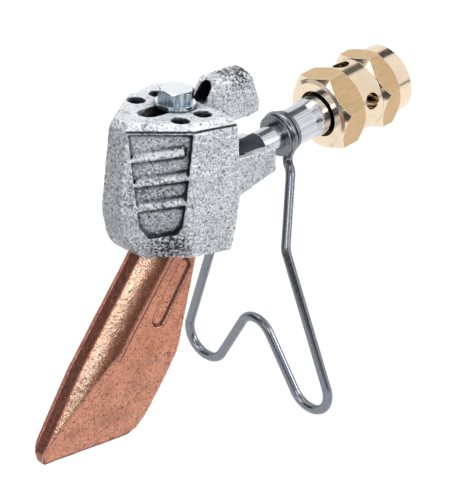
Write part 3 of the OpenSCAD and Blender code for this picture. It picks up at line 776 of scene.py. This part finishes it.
def turnedBrass(look):  # the chamfers are turned, the flats brushed
    material, tree, shader = startMaterial("turnedBrass")
    coord = alongTube(tree)
    place = parted(tree, coord)
    squares = [sums(tree, "POWER", place[axis], 2.0) for axis in ("Y", "Z")]
    radius = sums(tree, "SQRT", sums(tree, "ADD", *squares))
    rings = tree.nodes.new("ShaderNodeCombineXYZ")
    tree.links.new(times(tree, place["X"], look["latheLines"]), rings.inputs["X"])
    tree.links.new(times(tree, radius, look["latheLines"]), rings.inputs["Y"])
    turned = noise(tree, rings.outputs[0], *look["turned"])
    brushed = noise(tree, mapped(tree, coord, scale=look["brushScale"]), *look["brushed"])
    outer = ramp(tree, sums(tree, "DIVIDE", radius, look["radiusSpan"]), look["flatsStops"])
    lean = vectorSum(tree, "DOT_PRODUCT", surface(tree, "True Normal"), tubeAxis)
    level = ramp(tree, sums(tree, "ABSOLUTE", lean), look["levelStops"])
    flats = times(tree, outer, level)
    colour = mixColour(tree, flats, look["gold"], look["flat"])
    streaks = times(tree, ramp(tree, brushed, look["brushStops"]), flats)
    colour = mixColour(tree, streaks, colour, look["deep"])
    colour = layer(tree, colour, noise(tree, coord, *look["clouds"]), look["cloudStops"], look["deep"])
    # a painted highlight along the hexagons' edges
    rounded = roundedEdge(tree, look["edgeLine"])
    turning = vectorSum(tree, "DOT_PRODUCT", surface(tree, "True Normal"), rounded)
    colour = layer(tree, colour, turning, look["edgeHighlightStops"], look["paintedLight"])
    # the crevices are painted dark: painted shade
    crevice = nearCrevice(tree, look["creviceReach"])
    colour = layer(tree, colour, crevice, look["creviceStops"], look["creviceShade"])
    roughness = spread(tree, flats, look["turnedRough"], look["flatRough"])
    marks = mixColour(tree, flats, turned, brushed)
    normal = bump(tree, marks, *look["marksBump"], roundedEdge(tree, look["edge"]))
    finishMetal(tree, shader, look, colour, roughness, normal)
    return material


brass = turnedBrass(brassLook)
dress(shapeMixer(mixerShape), brass)
dress(parts["gas_jet"], brass)
print("materials done")


# camera: the direction, roll and framing of the photograph

cameraLook = {
    "azimuth": 45.87,  # degrees, as are the next two
    "elevation": 23.93,
    "roll": 4.33,
    "distance": 1.5,
    "pixelsPerMetre": 2580,
    "sideways": -22.24 * mm,  # the bolt's foot from the middle of the frame
    "upward": 52.37 * mm,
    "frameHeight": 480,
    "sensor": 36,
    "clip": (0.05, 20),
}


def placeCamera(look):
    azimuth, elevation, roll = (math.radians(look[k]) for k in ("azimuth", "elevation", "roll"))
    back = Vector((-math.sin(azimuth) * math.cos(elevation), -math.cos(azimuth) * math.cos(elevation),
                   math.sin(elevation)))
    level = Vector((math.cos(azimuth), -math.sin(azimuth), 0))
    upright = back.cross(level)
    right = math.cos(roll) * level + math.sin(roll) * upright
    up = -math.sin(roll) * level + math.cos(roll) * upright
    data = bpy.data.cameras.new("photoCamera")
    data.sensor_width = look["sensor"]
    data.lens = look["pixelsPerMetre"] * look["distance"] / look["frameHeight"] * look["sensor"]
    data.clip_start, data.clip_end = look["clip"]
    camera = bpy.data.objects.new("photoCamera", data)
    bpy.context.scene.collection.objects.link(camera)
    turn = Matrix((right, up, back)).transposed()
    where = boltFoot - look["sideways"] * right - look["upward"] * up + look["distance"] * back
    camera.matrix_world = Matrix.Translation(where) @ turn.to_4x4()
    bpy.context.scene.camera = camera
    print("camera placed")


placeCamera(cameraLook)


# pale floor, soft boxes, dark flags and one pale card

studioLook = {
    "floor": (0.93, 0.93, 0.93),
    "floorSize": 8,
    "floorGap": 0.05 * mm,  # under the part's lowest point
    "floorRough": 0.9,
    "floorShine": 0.1,
    "floorGlow": 0.86,  # the rest of the floor takes the part's shadow
    "floorWhite": 1.12,
    "sky": 0.22,
    "boxes": [  # name, direction from the object, distance, size, watts
        ("keyBox", (0.8, -0.95, 0.7), 0.8, (0.45, 0.5), 3.6),
        ("topBox", (0.1, 0.25, 1.0), 0.9, (0.5, 0.5), 3.0),
        ("leftBox", (-1.0, 0.0, 0.5), 0.9, (0.3, 0.5), 1.4),
        ("frontBox", (-0.56, -0.72, 0.45), 1.0, (0.2, 0.3), 1.3),
    ],
    "cloth": (0.02, 0.02, 0.02),
    "flags": [  # name, place from the middle of the object, facing, size
        ("leftFlag", (-0.40, 0.38, 0.21), (0.67, -0.64, -0.35), (0.5, 0.45)),
        ("overheadFlag", (0.26, 0.17, 0.51), (-0.43, -0.29, -0.85), (0.4, 0.3)),
        ("lowFlag", (0.62, -0.34, 0.08), (-0.9, 0.5, -0.12), (0.5, 0.12)),
        ("floorFlag", (-0.36, -0.37, -0.071), (0, 0, 1), (0.52, 1.02)),
        ("boltFlag", (0.05, -0.36, -0.071), (0, 0, 1), (0.14, 0.3)),
        ("highFlag", (-0.13, -0.33, 0.56), (0.2, 0.5, -0.84), (0.4, 0.3)),
        ("sideFlag", (-0.38, 0.36, -0.071), (0, 0, 1), (0.45, 0.45)),
        ("frontFlag", (-0.08, -0.75, 0.05), (0.1, 1, 0), (0.7, 0.34)),
        ("roomFlag", (-0.9, -0.9, 0.2), (0.7, 0.7, -0.12), (1.5, 0.5)),
    ],
    "card": ((0.121, -0.062, 0.121), (-0.465, 0.566, -0.682), (0.12, 0.17)),  # place, facing, size
    "cardWhite": 0.95,
}


def seenRay(tree):  # the rays that show the background: camera, gloss and glass
    path = tree.nodes.new("ShaderNodeLightPath").outputs
    seen = sums(tree, "MAXIMUM", path["Is Camera Ray"], path["Is Glossy Ray"])
    return sums(tree, "MAXIMUM", seen, path["Is Transmission Ray"])


def flatSheet(name, width, depth, material):
    x, y = width / 2, depth / 2
    mesh = bpy.data.meshes.new(name)
    mesh.from_pydata([(-x, -y, 0), (x, -y, 0), (x, y, 0), (-x, y, 0)], [], [(0, 1, 2, 3)])
    mesh.materials.append(material)
    sheet = bpy.data.objects.new(name, mesh)
    bpy.context.scene.collection.objects.link(sheet)
    return sheet


def layFloor(look):
    material, tree, shader = startMaterial("paleFloor")
    shader.inputs["Base Color"].default_value = (*look["floor"], 1)
    shader.inputs["Roughness"].default_value = look["floorRough"]
    shader.inputs["Specular IOR Level"].default_value = look["floorShine"]
    glow = addNode(tree, "ShaderNodeEmission", Strength=look["floorWhite"])
    blend = tree.nodes.new("ShaderNodeMixShader")
    tree.links.new(times(tree, seenRay(tree), look["floorGlow"]), blend.inputs[0])
    tree.links.new(shader.outputs[0], blend.inputs[1])
    tree.links.new(glow.outputs[0], blend.inputs[2])
    tree.links.new(blend.outputs[0], tree.nodes["Material Output"].inputs["Surface"])
    floor = flatSheet("paleFloor", look["floorSize"], look["floorSize"], material)
    floor.location.z = cadBox[0].z - look["floorGap"]


def hangBoxes(look):
    for name, direction, distance, size, watts in look["boxes"]:
        data = bpy.data.lights.new(name, "AREA")
        data.shape = "RECTANGLE"
        data.size, data.size_y = size
        data.energy = watts
        lamp = bpy.data.objects.new(name, data)
        bpy.context.scene.collection.objects.link(lamp)
        way = Vector(direction).normalized()
        lamp.location = middle + distance * way
        lamp.rotation_euler = way.to_track_quat("Z", "Y").to_euler()


def hangSheet(name, place, facing, size, material, shades=False):  # seen only in reflections
    sheet = flatSheet(name, *size, material)
    sheet.location = middle + Vector(place)
    sheet.rotation_euler = Vector(facing).to_track_quat("Z", "Y").to_euler()
    sheet.visible_camera = False
    sheet.visible_diffuse = False
    sheet.visible_shadow = shades


def hangFlags(look):
    cloth, _, shader = startMaterial("blackCloth")
    shader.inputs["Base Color"].default_value = (*look["cloth"], 1)
    shader.inputs["Roughness"].default_value = 1.0
    for name, place, facing, size in look["flags"]:
        hangSheet(name, place, facing, size, cloth)
    paper, _, shader = startMaterial("whitePaper")
    shader.inputs["Base Color"].default_value = (0, 0, 0, 1)
    shader.inputs["Emission Color"].default_value = (1, 1, 1, 1)
    shader.inputs["Emission Strength"].default_value = look["cardWhite"]
    hangSheet("paleCard", *look["card"], paper, True)  # its shadow keeps the key box off the mixer


def paintSky(look):
    world = bpy.data.worlds.new("studio")
    bpy.context.scene.world = world
    world.use_nodes = True
    tree = world.node_tree
    sky = tree.nodes["Background"]
    sky.inputs["Color"].default_value = (1, 1, 1, 1)
    tree.links.new(spread(tree, seenRay(tree), look["sky"], 1.0), sky.inputs["Strength"])


layFloor(studioLook)
hangBoxes(studioLook)
hangFlags(studioLook)
paintSky(studioLook)
bpy.context.scene.view_settings.view_transform = "Standard"
print("studio done")
